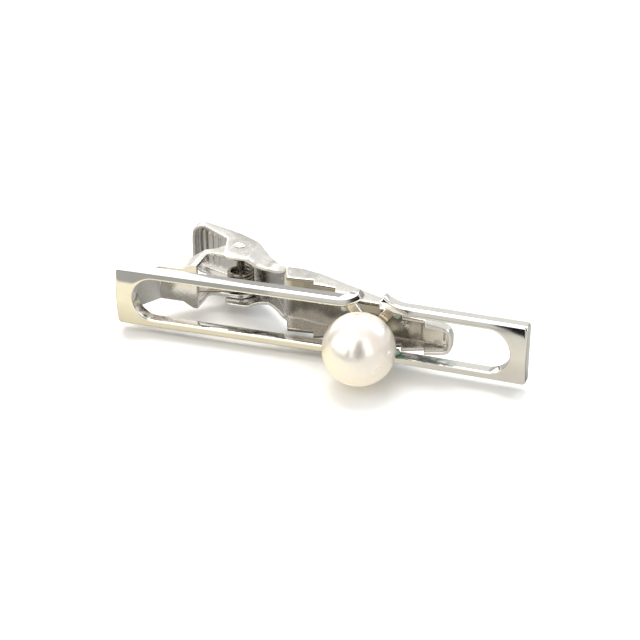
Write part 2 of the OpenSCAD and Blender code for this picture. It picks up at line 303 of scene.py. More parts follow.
def jaw_reflection_and_green(nodes, links, coord, bsdf, tone):
    """The bar's plate, with a painted dark brown reflection of the jaw's tip and green marks by the seat."""
    mask = jaw_reflection_and_green_mask(nodes, links, coord)
    hue = ramp(nodes, links, grain(nodes, links, coord, 1300, 2), [(0.45, 0.0), (0.56, 1.0)])
    # dark brown: painted reflection of the jaw's tip; green: marks on the plate
    reflection_and_green = mix_colour(nodes, links, hue, (0.07, 0.055, 0.045), (0.16, 0.34, 0.25))
    links.new(ramp(nodes, links, mask, [(0.0, 1.0), (1.0, 0.3)]), bsdf.inputs["Metallic"])
    return mix_colour(nodes, links, mask, tone, reflection_and_green)


def plated_metal(name, colour, cloud, roughness, ripple, scratch, shade_and_marks=None):
    """Bright plate: cloudy handling marks, a polishing ripple and fine lines; the last argument, if given,
    paints shade, reflections and marks into its tone.
    """
    mat, nodes, links, coord, bsdf = new_material(name)
    bsdf.inputs["Metallic"].default_value = 1.0
    veil = ramp(nodes, links, grain(nodes, links, coord, 420, 5), [(0.42, 0.0), (0.72, 1.0)])
    spots = ramp(nodes, links, grain(nodes, links, coord, 5200, 2), [(0.69, 0.0), (0.76, 1.0)])
    tone = mix_colour(nodes, links, veil, colour, cloud)
    tone = mix_colour(nodes, links, spots, tone, tuple(c * 0.78 for c in cloud))
    # painted shade and painted reflections go into the tone here
    if shade_and_marks is not None:
        tone = shade_and_marks(nodes, links, coord, bsdf, tone)
    links.new(tone, bsdf.inputs["Base Color"])
    marks = grain(nodes, links, coord, 900, 6, 0.65)
    rough = ramp(nodes, links, marks, [(0.3, roughness), (0.75, roughness * 1.7)])
    links.new(rough, bsdf.inputs["Roughness"])
    slow = grain(nodes, links, coord, 260, 1, 0.4)
    lines = grain(nodes, links, coord, 5000, 3, 0.6, (1.0, 6.0, 6.0))
    rippled = bump(nodes, links, slow, ripple, 0.00012)
    links.new(bump(nodes, links, lines, scratch, 0.000004, rippled), bsdf.inputs["Normal"])
    return mat


def solder_metal():
    """Dull solder with green tarnish in its hollows."""
    mat, nodes, links, coord, bsdf = new_material("solder_with_tarnish")
    patch = grain(nodes, links, coord, 900, 5, 0.6)
    fine = grain(nodes, links, coord, 4200, 4)
    green = ramp(nodes, links, patch, [(0.44, 0.0), (0.56, 1.0)])
    verdigris = mix_colour(nodes, links, fine, (0.09, 0.22, 0.15), (0.34, 0.55, 0.42))
    tone = mix_colour(nodes, links, green, (0.55, 0.53, 0.47), verdigris)
    links.new(tone, bsdf.inputs["Base Color"])
    links.new(ramp(nodes, links, patch, [(0.44, 1.0), (0.56, 0.05)]), bsdf.inputs["Metallic"])
    links.new(ramp(nodes, links, fine, [(0.3, 0.28), (0.7, 0.75)]), bsdf.inputs["Roughness"])
    links.new(bump(nodes, links, fine, 0.7, 0.00004), bsdf.inputs["Normal"])
    return mat


def pearl_nacre():
    """Cream nacre: warmer at the rim, with faint growth bands, pits and a soft top lustre."""
    mat, nodes, links, coord, bsdf = new_material("pearl_nacre")
    facing = nodes.new("ShaderNodeLayerWeight")
    facing.inputs["Blend"].default_value = 0.42
    rim = ramp(nodes, links, facing.outputs["Facing"], [(0.2, 0.0), (0.8, 1.0)])
    slow = grain(nodes, links, coord, 190, 3)
    heart = mix_colour(nodes, links, slow, (0.84, 0.79, 0.72), (0.83, 0.79, 0.74))
    edge = mix_colour(nodes, links, slow, (0.79, 0.71, 0.57), (0.80, 0.72, 0.60))
    links.new(mix_colour(nodes, links, rim, heart, edge), bsdf.inputs["Base Color"])
    bands = grain(nodes, links, coord, 320, 2, 0.4, (1.0, 2.5, 1.0))
    links.new(ramp(nodes, links, bands, [(0.3, 0.27), (0.7, 0.31)]), bsdf.inputs["Roughness"])
    pits = ramp(nodes, links, grain(nodes, links, coord, 2600, 1), [(0.5, 0.5), (0.85, 0.0)])
    banded = bump(nodes, links, bands, 0.04, 0.00001)
    links.new(bump(nodes, links, pits, 0.05, 0.000004, banded), bsdf.inputs["Normal"])
    bsdf.inputs["Metallic"].default_value = 0.55
    bsdf.inputs["IOR"].default_value = 1.6
    bsdf.inputs["Subsurface Weight"].default_value = 0.15
    bsdf.inputs["Subsurface Radius"].default_value = (1.0, 0.8, 0.6)
    bsdf.inputs["Subsurface Scale"].default_value = 0.0012
    bsdf.inputs["Coat Weight"].default_value = 1.0
    bsdf.inputs["Coat Roughness"].default_value = 0.2
    bsdf.inputs["Coat IOR"].default_value = 2.0
    return mat


def pearl_glue():
    """Clear, slightly yellow cement with tiny bubbles."""
    mat, nodes, links, coord, bsdf = new_material("pearl_glue")
    bubbles = grain(nodes, links, coord, 3000, 3)
    tone = mix_colour(nodes, links, bubbles, (0.78, 0.70, 0.50), (0.90, 0.86, 0.72))
    links.new(tone, bsdf.inputs["Base Color"])
    bsdf.inputs["Roughness"].default_value = 0.22
    links.new(bump(nodes, links, bubbles, 0.4, 0.00002), bsdf.inputs["Normal"])
    return mat


def table_top():
    """A plain pale floor with a breath of unevenness."""
    mat, nodes, links, coord, bsdf = new_material("table_top")
    slow = grain(nodes, links, coord, 14, 2)
    tone = mix_colour(nodes, links, slow, (0.93, 0.925, 0.91), (0.95, 0.945, 0.93))
    links.new(tone, bsdf.inputs["Base Color"])
    bsdf.inputs["Roughness"].default_value = 0.75
    bsdf.inputs["Specular IOR Level"].default_value = 0.1
    return mat


# the bar's plate carries a painted dark reflection of the jaw's tip by the seat
BAR_PLATE = plated_metal("bar_plate", (0.74, 0.73, 0.70), (0.71, 0.69, 0.65), 0.05, 0.25, 0.10, jaw_reflection_and_green)
SEAT_PLATE = plated_metal("seat_plate", (0.72, 0.68, 0.60), (0.60, 0.53, 0.42), 0.09, 0.3, 0.2)
# the clip's plate carries painted shade: dark brown on the forward faces inside the jaw
CLIP_PLATE = plated_metal("clip_plate", (0.69, 0.675, 0.65), (0.65, 0.63, 0.595), 0.19, 0.10, 0.10, shaded_jaw)
SPRING_WIRE = plated_metal("spring_wire", (0.33, 0.30, 0.26), (0.22, 0.19, 0.15), 0.13, 0.2, 0.5)
SOLDER = solder_metal()
NACRE = pearl_nacre()
GLUE = pearl_glue()


# ----------------------------------------------------------------- mesh helpers

def add_object(name, data):
    """A new object in the scene."""
    obj = bpy.data.objects.new(name, data)
    bpy.context.scene.collection.objects.link(obj)
    return obj


def finish_mesh(bm, mesh, material):
    """Writes a bmesh into a mesh, its faces outwards and smooth, with one material."""
    bmesh.ops.recalc_face_normals(bm, faces=bm.faces)
    bm.to_mesh(mesh)
    bm.free()
    mesh.polygons.foreach_set("use_smooth", [True] * len(mesh.polygons))
    mesh.materials.append(material)


def add_piece(name, points, faces, material, body, nodes):
    """A closed mesh in the row's frame, in place of its CAD nodes; with body None it is attached to no body.
    """
    mesh = bpy.data.meshes.new(name)
    mesh.from_pydata([tuple(float(c) * MM for c in p) for p in points], [], faces)
    mesh.validate()
    bm = bmesh.new()
    bm.from_mesh(mesh)
    bmesh.ops.remove_doubles(bm, verts=bm.verts, dist=1e-7)
    finish_mesh(bm, mesh, material)
    obj = add_object(name, mesh)
    if body:
        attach(obj, body)
    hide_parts(*nodes)
    return obj


def rounded_copy(node, name, radius, material):
    """A CAD node's flat-sided shape with every edge rounded, standing in for the node."""
    mesh = bpy.data.meshes.new(name)
    bm = bmesh.new()
    bm.from_mesh(frame["nodes"][node].data)
    bmesh.ops.remove_doubles(bm, verts=bm.verts, dist=2e-6)
    bmesh.ops.dissolve_limit(bm, angle_limit=math.radians(1.0), verts=bm.verts, edges=bm.edges)
    finish_mesh(bm, mesh, material)
    obj = add_object(name, mesh)
    edge = obj.modifiers.new("rounded_edges", "BEVEL")
    edge.width = radius * MM
    edge.segments = 3
    edge.limit_method = "ANGLE"
    edge.angle_limit = math.radians(18)
    edge.use_clamp_overlap = True
    even = obj.modifiers.new("even_shading", "WEIGHTED_NORMAL")
    even.keep_sharp = False
    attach(obj, frame["nodes"][node]["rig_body"])
    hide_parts(node)


def band(a, b, count):
    """Faces between two rings of count points, from their first points' places in the list."""
    faces = []
    for k in range(count):
        n = (k + 1) % count
        faces.append((a + k, a + n, b + n, b + k))
    return faces


def loft(rings, close=False):
    """Points and faces of a skin over closed rings of equal count; the ends are capped unless it closes."""
    count = len(rings[0])
    points = [p for ring in rings for p in ring]
    spans = len(rings) if close else len(rings) - 1
    faces = []
    for i in range(spans):
        faces += band(i * count, (i + 1) % len(rings) * count, count)
    if not close:
        faces.append(tuple(reversed(range(count))))
        faces.append(tuple(range(len(points) - count, len(points))))
    return points, faces


def shaped_ball(bm, shape):
    """Points and faces of a bmesh ball, with shape moving each point."""
    points = [shape(v.co) for v in bm.verts]
    faces = [tuple(v.index for v in f.verts) for f in bm.faces]
    bm.free()
    return points, faces


def circle(radius, steps):
    """Points of a full circle, as pairs."""
    turns = [2 * math.pi * k / steps for k in range(steps)]
    return [(radius * math.cos(a), radius * math.sin(a)) for a in turns]


def quarter(n=5):
    """Cosine and sine over a quarter turn, for rounded corners."""
    return [(math.cos(math.pi / 2 * k / n), math.sin(math.pi / 2 * k / n)) for k in range(n + 1)]


# ---------------------------------------------------------------------- the bar

def crown_y(z):
    """Front of the bar at height z."""
    return CROWN_R - BAR_T - math.sqrt(CROWN_R ** 2 - z ** 2)


def wing_section(inner, outer, inset=0.0):
    """Closed ring round a rail, from its slot side (inner) to its outer side, each an (x, z) point."""
    run = outer - inner
    width = np.linalg.norm(run)
    run = run / width
    low = inset
    high = width - inset
    front = max(FRONT_EDGE - inset, 0.02)
    back = max(BACK_EDGE - inset, 0.02)
    ring = []

    def put(s, rise, on_front):
        """A point at s along the run, sunk by rise from the front or the back."""
        x, z = inner + run * s
        y = crown_y(z) + inset + rise if on_front else -inset - rise
        ring.append((x, y, z))

    for c, s in quarter():
        put(low + front * (1 - c), front * (1 - s), True)
    for k in range(1, 8):
        put(low + front + (high - low - 2 * front) * k / 8, 0.0, True)
    for c, s in reversed(quarter()):
        put(high - front * (1 - c), front * (1 - s), True)
    for c, s in quarter():
        put(high - back * (1 - c), back * (1 - s), False)
    for c, s in reversed(quarter()):
        put(low + back * (1 - c), back * (1 - s), False)
    return ring


def flare_section(turn, inset=0.0):
    """Section of a flared rail end; turn is its angle back from the straight rail, in radians."""
    out = np.array([-math.sin(turn), -math.cos(turn)])
    centre = np.array([FLARE_X, FLARE_Z])
    inner = centre + out * (FLARE_R + RAIL_H / 2)
    outer = centre + out * (FLARE_R - RAIL_H / 2)
    return wing_section(inner, outer, inset)


def half_wing(length, pad):
    """Rings from a flared end along the upper rail to the middle of the wing's solid end."""
    flare_steps = 26
    rail_steps = 40
    top_steps = 14
    corner_steps = 8
    end_steps = 12
    end = GAP / 2 + length
    slot_end = end - pad - SLOT_R
    full = math.radians(FLARE_DEG)
    start = full - CAP_EDGE / FLARE_R
    rings = [flare_section(full - CAP_EDGE * (1 - c) / FLARE_R, CAP_EDGE * (1 - s)) for c, s in quarter()]
    for i in range(1, flare_steps):
        rings.append(flare_section(start * (1 - i / flare_steps)))
    for i in range(rail_steps):
        x = FLARE_X + (slot_end - FLARE_X) * i / rail_steps
        rings.append(wing_section(np.array([x, SLOT_R]), np.array([x, BAR_HALF])))
    outline = []
    for i in range(top_steps):
        outline.append(np.array([slot_end + (end - CORNER_R - slot_end) * i / top_steps, BAR_HALF]))
    corner = np.array([end - CORNER_R, BAR_HALF - CORNER_R])
    for i in range(corner_steps + 1):
        a = math.pi / 2 * (1 - i / corner_steps)
        outline.append(corner + CORNER_R * np.array([math.cos(a), math.sin(a)]))
    for i in range(1, end_steps + 1):
        outline.append(np.array([end, (BAR_HALF - CORNER_R) * (1 - i / end_steps)]))
    centre = np.array([slot_end, 0.0])
    for outer in outline:
        out = (outer - centre) / np.linalg.norm(outer - centre)
        rings.append(wing_section(centre + out * SLOT_R, outer))
    return rings


def wing(name, length, pad, place, node):
    """A hairpin wing; place maps a point of a wing that runs towards +X to where this one is."""
    upper = half_wing(length, pad)
    lower = [[(x, y, -z) for x, y, z in ring] for ring in upper[-2::-1]]
    rings = [[place(p) for p in ring] for ring in upper + lower]
    points, faces = loft(rings)
    add_piece(name, points, faces, BAR_PLATE, "bar", [node])


def flipped(p):
    """A wing's point on the left side of the bar."""
    return (-p[0], p[1], p[2])


def toed(p):
    """A wing's point on the right side, turned forward about the bar's middle."""
    a = math.radians(-TOE_DEG)
    return (p[0] * math.cos(a) - p[1] * math.sin(a), p[0] * math.sin(a) + p[1] * math.cos(a), p[2])


wing("left_wing_plate", LEFT_LEN, LEFT_PAD, flipped, "left_wing")
wing("right_wing_plate", RIGHT_LEN, RIGHT_PAD, toed, "right_wing")


# ------------------------------------------------------------ the seat and pearl

rounded_copy("cross_seat", "cross_seat_plate", 0.06, SEAT_PLATE)


def cup():
    """The pearl's cup: a dished floor and a thin wall with a rolled rim."""
    hole_r = 0.4
    floor = 0.44
    dish_steps = 8
    rim = -CUP_LOW[1] + CROSS_FRONT
    ball = PEARL_R + 0.06
    ball_y = floor + ball
    lip = math.sqrt(ball ** 2 - (ball_y - rim) ** 2)
    profile = [(hole_r, 0.0), (CUP_R - 0.08, 0.0), (CUP_R, 0.08), (CUP_R, rim - 0.1)]
    profile += [(CUP_R - 0.03, rim - 0.03), (max(lip, CUP_R - 0.1), rim)]
    for k in range(1, dish_steps + 1):
        radius = lip + (hole_r - lip) * k / dish_steps
        profile.append((radius, ball_y - math.sqrt(ball ** 2 - radius ** 2)))
    rings = [[(x, CROSS_FRONT - height, z) for x, z in circle(radius, 72)] for radius, height in profile]
    points, faces = loft(rings, close=True)
    add_piece("pearl_cup_turned", points, faces, SEAT_PLATE, "bar", ["pearl_cup"])


def pearl():
    """A nearly round pearl: its radius wanders by a few hundredths of a millimetre."""
    bm = bmesh.new()
    bmesh.ops.create_uvsphere(bm, u_segments=128, v_segments=80, radius=1.0)
    bmesh.ops.rotate(bm, verts=bm.verts, matrix=Matrix.Rotation(math.pi / 2, 3, "X"))

    def swollen(co):
        """A point of the ball, pushed out or in by slow and fine noise."""
        swell = 0.006 * noise.noise(co * 1.4 + Vector((3, 1, 7))) + 0.0012 * noise.noise(co * 6)
        return tuple(PEARL_C[i] + co[i] * PEARL_R * (0.997 + swell) for i in range(3))

    points, faces = shaped_ball(bm, swollen)
    add_piece("pearl_ball", points, faces, NACRE, "bar", ["pearl"])


def solder_bead(number, centre, radii):
    """One lumpy bead of solder."""
    bm = bmesh.new()
    bmesh.ops.create_icosphere(bm, subdivisions=5, radius=1.0)
    shift = (number - 1) * 5.0

    def lumpy(co):
        """A point of the ball, drawn in by coarse and fine noise."""
        lump = 1 - 0.32 * abs(noise.noise(co * 2.1 + Vector((shift, 0, 0))))
        lump -= 0.05 * abs(noise.noise(co * 7 + Vector((0, shift, 0))))
        return tuple(centre[k] + co[k] * radii[k] * lump for k in range(3))

    points, faces = shaped_ball(bm, lumpy)
    add_piece(f"solder_bead_{number}", points, faces, SOLDER, "bar", ["solder_joints"])


def solder():
    """Four beads in the corners of the cross, and a fillet behind the clip's foot."""
    from_edge = 0.45
    bead_x = SOLDER_HIGH[0] - from_edge
    bead_z = SOLDER_HIGH[2] - from_edge
    corners = [(x * bead_x, CROSS_FRONT + 0.1, z * bead_z) for x in (-1, 1) for z in (-1, 1)]
    for i, corner in enumerate(corners):
        solder_bead(i + 1, corner, (0.44, 0.43, 0.44))
    solder_bead(5, (BASE_LOW[0] + 1.28, 0.1, 0.0), (0.38, 0.2, 1.8))


def recolour(node, material):
    """A new material on a CAD node that is shown as it is."""
    materials = frame["nodes"][node].data.materials
    materials.clear()
    materials.append(material)


cup()
pearl()
solder()
recolour("pearl_peg", SEAT_PLATE)
recolour("pearl_cement", GLUE)


# -------------------------------------------------------------------- the lever

def densify(points, step):
    """A polyline resampled at about the given step, corners kept."""
    out = [np.array(points[0], float)]
    for a, b in zip(points[:-1], points[1:]):
        a = np.array(a, float)
        b = np.array(b, float)
        n = max(1, int(round(np.linalg.norm(b - a) / step)))
        out += [a + (b - a) * k / n for k in range(1, n + 1)]
    return np.array(out)


def relaxed(points, passes):
    """A dense polyline with its corners eased; its ends stay."""
    pts = points.copy()
    for _ in range(passes):
        pts[1:-1] = 0.25 * pts[:-2] + 0.5 * pts[1:-1] + 0.25 * pts[2:]
    return pts


def arc(centre, radius, a0, a1, n):
    """Points of an arc, its angles in degrees."""
    out = []
    for i in range(n + 1):
        a = math.radians(a0 + (a1 - a0) * i / n)
        out.append(np.array([centre[0] + radius * math.cos(a), centre[1] + radius * math.sin(a)]))
    return out


def lever_back_line():
    """Outer face of the lever's web, from the thumb pad's end to past the tip."""
    fall_end = np.array([-0.3, 0.5]) + WAIST - PIVOT
    thumb = math.radians(THUMB_DEG)
    fall = math.radians(FALL_DEG)
    sagitta = (LOBE_R - fall_end[1]) * math.cos(thumb) - fall_end[0] * math.sin(thumb)
    radius = sagitta / (1 - math.cos(fall - thumb))
    centre = PIVOT + fall_end - radius * np.array([math.sin(fall), math.cos(fall)])
    drop = (TIP_X + 1 - HEEL[0]) * math.tan(math.radians(JAW_DEG))
    line = [THUMB_END, *arc(centre, radius, 90 - THUMB_DEG, 90 - FALL_DEG, 16)]
    line += [WAIST, HEEL, np.array([TIP_X + 1, HEEL[1] - drop])]
    return relaxed(densify(line, 0.06), 14)


def tooth_y(k):
    """Height of the crest of tooth k."""
    return TOOTH_Y - TOOTH_DROP * k


def lever_edge_line():
    """Free edge of the lever's side walls, from the thumb pad's end to past the tip."""
    rim = THUMB_END - [0, WALL_H]
    shoulder = PIVOT + [-2.1, 1.4]
    lobe = [PIVOT + [-0.9, -3.17], PIVOT + [-0.45, -3.27], PIVOT + [0, -LOBE_R], PIVOT + [4.6, -LOBE_R]]
    waist = [WAIST + [-0.5, -0.75], WAIST + [0.1, -0.75]]
    line = [rim, rim + [1.6, 0], shoulder, *lobe, *waist]
    line.append(np.array([WAIST[0] + 0.95, tooth_y(-1) + 0.15]))
    for k in range(TOOTH_COUNT):
        x = TOOTH_X + k * TOOTH_PITCH
        line.append(np.array([x - TOOTH_LEAN, tooth_y(k - 1) + TOOTH_RISE]))
        line.append(np.array([x, tooth_y(k)]))
    line.append(np.array([TIP_X + 1, tooth_y(TOOTH_COUNT - 1) + 0.2]))
    return line


def lever_outline():
    """Half of the lever's plan as (x, z), from the thumb end's middle round to the tip's middle."""
    half = CHEEK_OUT
    a = math.degrees(math.acos(1 - (half - NECK_HALF) / NECK_R))
    b = math.degrees(math.acos(1 - (JAW_HALF - NECK_HALF) / NECK_R))
    line = [(THUMB_X, 0.0), (THUMB_X, half * 0.45), (THUMB_X + 0.18, half * 0.82), (THUMB_X + 1.1, half)]
    line += arc((NECK_X, NECK_HALF + NECK_R), NECK_R, 270 - a, 270 + b, 16)
    line += [(TOOTH_X, JAW_HALF), (TIP_X - 2.3, TIP_HALF)]
    line += arc((TIP_X - 1.0, TIP_HALF - 1.15), 1.0, 80, 0, 8)
    line.append((TIP_X, 0.0))
    return relaxed(densify(line, 0.05), 60)


BACK_LINE = lever_back_line()
EDGE_LINE = lever_edge_line()


def back_at(x):
    """Height and slope of the web's outer face."""
    y = np.interp(x, BACK_LINE[:, 0], BACK_LINE[:, 1])
    slope = (np.interp(x + 0.05, BACK_LINE[:, 0], BACK_LINE[:, 1]) - y) / 0.05
    return y, slope


def edge_at(x):
    """Height of the walls' free edge."""
    xs = [p[0] for p in EDGE_LINE]
    ys = [p[1] for p in EDGE_LINE]
    return float(np.interp(x, xs, ys))


def soft_step(t):
    """0 to 1, smoothly."""
    t = min(max(t, 0.0), 1.0)
    return t * t * (3 - 2 * t)


def rib_dip(x, z):
    """Depth of the pressed grip ribs of the thumb pad."""
    half = CHEEK_OUT - 1.05
    side = soft_step((half - abs(z)) / 0.3)
    dip = 0.0
    for k in range(RIB_COUNT):
        d = (x - THUMB_X - 1.1 - k * RIB_PITCH) / RIB_HALF
        if abs(d) < 1:
            dip += RIB_DEPTH * (1 - d * d) ** 2
    return dip * side


def tip_pressing(x, z):
    """Height of the flat pad and the pip that are pressed inward at the jaw's tip."""
    half = TIP_HALF - LEVER_T - 0.12
    near = soft_step((x - PAD_X) / 0.22)
    far = soft_step((PAD_X + PAD_LEN - x) / 0.2)
    side = soft_step((half - abs(z)) / 0.14)
    off_pip = (x - PAD_X + 2.0) ** 2 + z ** 2
    pip = math.sqrt(max(PIP_R ** 2 - off_pip, 0.0))
    return PAD_RISE * near * far * side + pip


def outline_frames(outline, stations, end_rows):
    """Points and inward normals of half the plan's loop: its side, its thumb end and its tip."""
    run = np.concatenate([[0], np.cumsum(np.linalg.norm(np.diff(outline, axis=0), axis=1))])
    tangent = np.gradient(outline, run, axis=0)
    tangent /= np.linalg.norm(tangent, axis=1)[:, None]
    inward = np.stack([tangent[:, 1], -tangent[:, 0]], axis=1)
    xs = outline[:, 0]
    zs = outline[:, 1]

    def frame_at(u):
        """Point and inward normal at a distance along the outline."""
        p = np.array([np.interp(u, run, outline[:, i]) for i in (0, 1)])
        n = np.array([np.interp(u, run, inward[:, i]) for i in (0, 1)])
        return p, n / np.linalg.norm(n)

    thumb_corner = run[np.argmin(np.abs(xs - (THUMB_X + 0.5)) + (zs < 1) * 9)]
    tip_corner = run[np.argmin(np.abs(xs - (TIP_X - 0.35)) + (zs < 0.5) * 9)]
    side_u = [np.interp(x, xs[5:-5], run[5:-5]) for x in stations]
    side_u = [u for u in side_u if thumb_corner + 0.02 < u < tip_corner - 0.02]
    side = [frame_at(u) for u in [thumb_corner, *side_u, tip_corner]]
    thumb = [frame_at(thumb_corner * k / end_rows) for k in range(end_rows + 1)]
    tip = [frame_at(run[-1] + (tip_corner - run[-1]) * k / end_rows) for k in range(end_rows + 1)]
    return side, thumb, tip


def mirrored(place):
    """A point and normal of the outline, on the other side of the mid plane."""
    p, n = place
    return np.array([p[0], -p[1]]), np.array([n[0], -n[1]])


def coons(left, right, bottom, top):
    """Grid of plan points between four sides: left and right run up, bottom and top run across."""
    rows = len(left)
    cols = len(bottom)
    grid = np.zeros((cols, rows, 2))
    for i in range(cols):
        u = i / (cols - 1)
        for j in range(rows):
            v = j / (rows - 1)
            ruled = (1 - v) * bottom[i] + v * top[i] + (1 - u) * left[j] + u * right[j]
            corners = (1 - u) * (1 - v) * bottom[0] + u * (1 - v) * bottom[-1]
            corners = corners + (1 - u) * v * top[0] + u * v * top[-1]
            grid[i, j] = ruled - corners
    return grid


def side_stations():
    """Places along X for the lever's rows: even steps, and one at each corner of a tooth."""
    crests = [TOOTH_X + k * TOOTH_PITCH for k in range(TOOTH_COUNT)]
    corners = crests + [x - TOOTH_LEAN for x in crests]
    even = np.arange(THUMB_X + 0.55, TIP_X - 0.3, 0.13)
    clear = [s for s in even if all(abs(s - x) > 0.06 for x in corners)]
    return sorted(clear + corners)


def lever():
    """The pressed lever: one sheet with a web, side walls and closed ends, and an even thickness."""
    end_rows = 13
    wall_rows = 4
    upper, thumb, tip = outline_frames(lever_outline(), side_stations(), end_rows)
    lower = [mirrored(f) for f in upper]
    loop = upper + tip[-2::-1] + [mirrored(f) for f in tip[1:-1]] + lower[::-1]
    loop += [mirrored(f) for f in thumb[-2::-1]] + thumb[1:-1]
    count = len(loop)
    points = []
    faces = []

    def ring(depth, height):
        """Points round the loop, in from the outline by depth; height takes x, z and the outline's x."""
        start = len(points)
        for p, n in loop:
            x, z = p + n * depth
            points.append((x, height(x, z, p[0]), z))
        return start

    def outer_web(x, z):
        """Height of the sheet's outer face."""
        return back_at(x)[0] - rib_dip(x, z)

    def inner_web(x, z):
        """Height of the sheet's inner face."""
        y, slope = back_at(x)
        return y - LEVER_T * math.hypot(1, slope) - rib_dip(x, z) - tip_pressing(x, z)

    def join(starts):
        """Faces between rings that follow one another."""
        for a, b in zip(starts[:-1], starts[1:]):
            faces.extend(band(a, b, count))

    def web_grid(web, depth, last):
        """The web inside the bend's last ring, whose points are the grid's border."""
        def inset(places):
            """Places of the outline, moved inwards to the bend's last ring."""
            return [p + n * depth for p, n in places]

        right = inset([mirrored(f) for f in tip[:0:-1]] + tip)
        left = inset([mirrored(f) for f in thumb[:0:-1]] + thumb)
        grid = coons(left, right, inset(lower), inset(upper))
        end_i = len(upper) - 1
        end_j = 2 * end_rows
        index = np.zeros((end_i + 1, end_j + 1), int)
        for i in range(end_i + 1):
            for j in range(end_j + 1):
                if j == end_j:
                    index[i, j] = last + i
                elif i == end_i:
                    index[i, j] = last + end_i + end_j - j
                elif j == 0:
                    index[i, j] = last + 2 * end_i + end_j - i
                elif i == 0:
                    index[i, j] = last + 2 * end_i + end_j + j
                else:
                    x, z = grid[i, j]
                    index[i, j] = len(points)
                    points.append((x, web(x, z), z))
        for i in range(end_i):
            for j in range(end_j):
                faces.append((index[i, j], index[i + 1, j], index[i + 1, j + 1], index[i, j + 1]))

    def skin(web, depth, radius):
        """Walls, bend and web of one face of the sheet; returns the wall's first ring."""
        starts = []
        for k in range(wall_rows):
            def wall(x, z, x0, rise=k / wall_rows):
                """Height of a wall's ring, a share of the way up to the bend."""
                foot = edge_at(x0) + RIM_R
                return foot + (web(x, z) - radius - foot) * rise
            starts.append(ring(depth, wall))
        for c, s in quarter(6):
            def bend(x, z, x0, below=radius * (1 - s)):
                """Height of a ring of the bend."""
                return web(x, z) - below
            starts.append(ring(depth + radius * (1 - c), bend))
        join(starts)
        web_grid(web, depth + radius, starts[-1])
        return starts[0]

    def rim_ring(depth, s):
        """A ring of the rounded free edge."""
        return ring(depth, lambda x, z, x0: edge_at(x0) + RIM_R * (1 - s))

    outer = skin(outer_web, 0.0, BEND_R)
    inner = skin(inner_web, LEVER_T, BEND_R - LEVER_T + 0.05)
    rim = [rim_ring(RIM_R * (1 - c), s) for c, s in quarter(3)[1:]]
    rim += [rim_ring(LEVER_T - RIM_R * (1 - c), s) for c, s in quarter(3)[:0:-1]]
    join([outer, *rim, inner])
    add_piece("clip_lever_pressed", points, faces, CLIP_PLATE, "lever", ["clip_lever"])


lever()


# ----------------------------------------------------- base, rivet and spring

rounded_copy("clip_base", "clip_base_pressed", 0.1, CLIP_PLATE)


def rivet():
    """A rivet with two low domed heads."""
    head_r = RIVET_HIGH[0] - PIVOT[0]
    top = RIVET_HIGH[2]
    under = top - 0.3
    shank_r = 0.5
    dome = head_r * 1.4
    steps = 10
    profile = []
    for k in range(1, steps + 1):
        radius = (head_r - 0.04) * k / steps
        profile.append((radius, top - dome + math.sqrt(dome ** 2 - radius ** 2)))
    profile += [(head_r, under + 0.05), (head_r - 0.02, under), (shank_r, under)]
    profile += [(radius, -height) for radius, height in profile[::-1]]
    rings = []
    for radius, height in profile:
        rings.append([(PIVOT[0] + x, PIVOT[1] + y, height) for x, y in circle(radius, 64)])
    points, faces = loft(rings)
    add_piece("pivot_rivet_turned", points, faces, CLIP_PLATE, "bar", ["pivot_rivet"])


def touch(p, centre, radius, side):
    """Where the line from p touches a circle; side is 1 or -1."""
    v = np.array(p) - centre
    a = math.atan2(v[1], v[0]) + side * math.acos(radius / np.linalg.norm(v))
    return centre + radius * np.array([math.cos(a), math.sin(a)])


def spring_path():
    """Middle of the wire: a leg on the base's web, the coil, and a leg under the thumb pad."""
    base_leg = np.array([PIVOT[0] - 6.1, BASE_WEB_Y + BASE_T + WIRE_R + WIRE_GAP])
    below = (LEVER_T + WIRE_R + 2 * WIRE_GAP) / math.cos(math.radians(THUMB_DEG))
    lever_leg = THUMB_END + [4.2, -4.2 * THUMB_SLOPE - below]
    coil_in = touch(base_leg, PIVOT, COIL_R, 1) - PIVOT
    coil_out = touch(lever_leg, PIVOT, COIL_R, -1) - PIVOT
    a0 = math.atan2(coil_in[1], coil_in[0])
    a1 = math.atan2(coil_out[1], coil_out[0]) + 2 * math.pi * COIL_TURNS
    low_z = -BASE_HIGH[2] + BASE_T + WIRE_R + 0.05
    rise = 2 * WIRE_R + WIRE_GAP
    coil = []
    steps = 40 * COIL_TURNS
    for i in range(steps + 1):
        a = a0 + (a1 - a0) * i / steps
        x, y = PIVOT + COIL_R * np.array([math.cos(a), math.sin(a)])
        coil.append(np.array([x, y, low_z + rise * (a - a0) / (2 * math.pi)]))
    first = np.array([*base_leg, 0.2 + BASE_T + WIRE_R - BASE_WEB_HALF])
    last = np.array([*lever_leg, coil[-1][2]])
    leg_steps = 12
    lead = [first + (coil[0] - first) * k / leg_steps for k in range(leg_steps)]
    tail = [coil[-1] + (last - coil[-1]) * k / leg_steps for k in range(1, leg_steps + 1)]
    return np.array(lead + coil + tail)


def wire_ring(p, t, radius):
    """A ring of the wire about point p, square to the direction t."""
    out = np.cross(t, [0, 0, 1.0])
    out /= np.linalg.norm(out)
    up = np.cross(out, t)
    return [tuple(p + u * out + v * up) for u, v in circle(radius, 16)]


